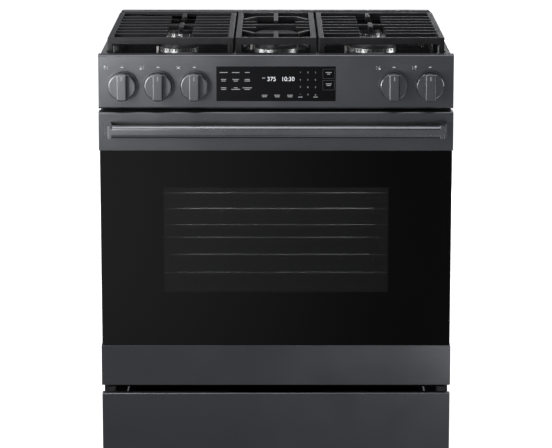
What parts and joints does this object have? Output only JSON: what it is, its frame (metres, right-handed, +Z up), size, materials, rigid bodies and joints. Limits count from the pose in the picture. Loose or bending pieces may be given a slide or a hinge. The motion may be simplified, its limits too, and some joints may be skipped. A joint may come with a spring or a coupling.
{
  "type": "freestanding gas range",
  "caption": "Freestanding gas range with cast-iron grates over sealed burners, front controls, a drop-down oven door with a window, and a storage drawer below.",
  "frame": {"origin": "centre of the overall box, on the floor", "axes": "+Z up, +Y towards the back cover, +X to the right as seen from the front"},
  "size_m": [0.76, 0.737, 0.94],
  "materials": {
    "black_stainless": "horizontally brushed black stainless",
    "handle_metal": "satin",
    "knob_metal": "satin",
    "black_enamel": "glossy porcelain enamel",
    "cap_enamel": "matte porcelain enamel",
    "cast_iron": "matte porcelain-coated cast iron",
    "burner_aluminium": "cast, satin",
    "door_glass": "dark tinted, black frit border",
    "clear_glass": "clear",
    "display_glass": "glossy black",
    "liner_enamel": "speckled porcelain enamel",
    "rack_wire": "bright",
    "galvanised": "zinc coated",
    "case_paint": "satin powder coat",
    "glass_fibre": "needled blanket",
    "gasket_braid": "braided",
    "brass": "machined",
    "tube_aluminium": "drawn",
    "black_plastic": "moulded",
    "ceramic": "glazed ceramic",
    "lamp_glass": "frosted",
    "burner_steel": "aluminised",
    "stainless": "plain"
  },
  "bodies": {
    "chassis": {"base_frame": "galvanised", "leveling_legs": "galvanised", "side_panels": "case_paint", "back_cover": "galvanised", "power_inlet": "black_plastic", "oven_front_frame": "black_enamel", "oven_liner": "liner_enamel", "oven_insulation": "glass_fibre", "oven_flue": "galvanised", "oven_floor": "liner_enamel", "bake_burner": "burner_steel", "broil_burner": "burner_steel", "oven_lamp": "lamp_glass", "temperature_probe": "stainless", "hinge_receivers": "galvanised", "drawer_runners": "galvanised", "control_panel": "black_stainless", "knob_bezels": "knob_metal", "display_glass": "display_glass", "display_module": "black_plastic", "gas_manifold": "tube_aluminium", "gas_valves": "brass", "gas_supply_pipe": "galvanised", "pressure_regulator": "tube_aluminium", "burner_supply_tubes": "tube_aluminium", "spark_module": "black_plastic", "spark_electrodes": "ceramic", "cooktop": "black_enamel", "rear_vent_trim": "black_enamel", "burner_heads": "burner_aluminium", "burner_caps": "cap_enamel"},
    "oven_door": {"door_top_trim": "black_stainless", "door_bottom_trim": "black_stainless", "door_glass": "door_glass", "door_side_stiles": "case_paint", "door_inner_panel": "liner_enamel", "door_inner_glass": "clear_glass", "door_insulation": "glass_fibre", "door_gasket": "gasket_braid", "handle_bar": "handle_metal", "handle_brackets": "handle_metal", "door_hinge_arms": "galvanised"},
    "storage_drawer": {"drawer_front": "black_stainless", "drawer_box": "case_paint"},
    "upper_rack": {"oven_rack_upper": "rack_wire"},
    "lower_rack": {"oven_rack_lower": "rack_wire"},
    "left_grate": {"grate_left": "cast_iron"},
    "center_grate": {"grate_center": "cast_iron"},
    "right_grate": {"grate_right": "cast_iron"},
    "stem_left_rear": {"valve_stem_left_rear": "stainless"},
    "knob_body_left_rear": {"knob_left_rear": "knob_metal"},
    "stem_left_front": {"valve_stem_left_front": "stainless"},
    "knob_body_left_front": {"knob_left_front": "knob_metal"},
    "stem_center": {"valve_stem_center": "stainless"},
    "knob_body_center": {"knob_center": "knob_metal"},
    "stem_right_front": {"valve_stem_right_front": "stainless"},
    "knob_body_right_front": {"knob_right_front": "knob_metal"},
    "stem_right_rear": {"valve_stem_right_rear": "stainless"},
    "knob_body_right_rear": {"knob_right_rear": "knob_metal"}
  },
  "joints": [
    {"name": "oven_door_hinge", "type": "hinge", "parent": "chassis", "child": "oven_door", "pos_m": [0, -0.2915, 0.197], "axis": [1, 0, 0], "range_deg": [0, 90]},
    {"name": "storage_drawer_slide", "type": "slide", "parent": "chassis", "child": "storage_drawer", "axis": [0, -1, 0], "range_m": [0, 0.38]},
    {"name": "upper_rack_slide", "type": "slide", "parent": "chassis", "child": "upper_rack", "axis": [0, -1, 0], "range_m": [0, 0.015]},
    {"name": "lower_rack_slide", "type": "slide", "parent": "chassis", "child": "lower_rack", "axis": [0, -1, 0], "range_m": [0, 0.015]},
    {"name": "left_grate_lift", "type": "slide", "parent": "chassis", "child": "left_grate", "axis": [0, 0, 1], "range_m": [0, 0.08]},
    {"name": "center_grate_lift", "type": "slide", "parent": "chassis", "child": "center_grate", "axis": [0, 0, 1], "range_m": [0, 0.08]},
    {"name": "right_grate_lift", "type": "slide", "parent": "chassis", "child": "right_grate", "axis": [0, 0, 1], "range_m": [0, 0.08]},
    {"name": "knob_left_rear_push", "type": "slide", "parent": "chassis", "child": "stem_left_rear", "axis": [0, 1, 0], "range_m": [0, 0.004], "stiffness_N_per_m": 500, "springref_m": -0.003},
    {"name": "knob_left_rear_turn", "type": "hinge", "parent": "stem_left_rear", "child": "knob_body_left_rear", "pos_m": [-0.329, -0.3035, 0.8455], "axis": [0, -1, 0], "range_deg": [0, 230]},
    {"name": "knob_left_front_push", "type": "slide", "parent": "chassis", "child": "stem_left_front", "axis": [0, 1, 0], "range_m": [0, 0.004], "stiffness_N_per_m": 500, "springref_m": -0.003},
    {"name": "knob_left_front_turn", "type": "hinge", "parent": "stem_left_front", "child": "knob_body_left_front", "pos_m": [-0.252, -0.3035, 0.8455], "axis": [0, -1, 0], "range_deg": [0, 230]},
    {"name": "knob_center_push", "type": "slide", "parent": "chassis", "child": "stem_center", "axis": [0, 1, 0], "range_m": [0, 0.004], "stiffness_N_per_m": 500, "springref_m": -0.003},
    {"name": "knob_center_turn", "type": "hinge", "parent": "stem_center", "child": "knob_body_center", "pos_m": [-0.1745, -0.3035, 0.8455], "axis": [0, -1, 0], "range_deg": [0, 230]},
    {"name": "knob_right_front_push", "type": "slide", "parent": "chassis", "child": "stem_right_front", "axis": [0, 1, 0], "range_m": [0, 0.004], "stiffness_N_per_m": 500, "springref_m": -0.003},
    {"name": "knob_right_front_turn", "type": "hinge", "parent": "stem_right_front", "child": "knob_body_right_front", "pos_m": [0.252, -0.3035, 0.8455], "axis": [0, -1, 0], "range_deg": [0, 230]},
    {"name": "knob_right_rear_push", "type": "slide", "parent": "chassis", "child": "stem_right_rear", "axis": [0, 1, 0], "range_m": [0, 0.004], "stiffness_N_per_m": 500, "springref_m": -0.003},
    {"name": "knob_right_rear_turn", "type": "hinge", "parent": "stem_right_rear", "child": "knob_body_right_rear", "pos_m": [0.329, -0.3035, 0.8455], "axis": [0, -1, 0], "range_deg": [0, 230]}
  ]
}
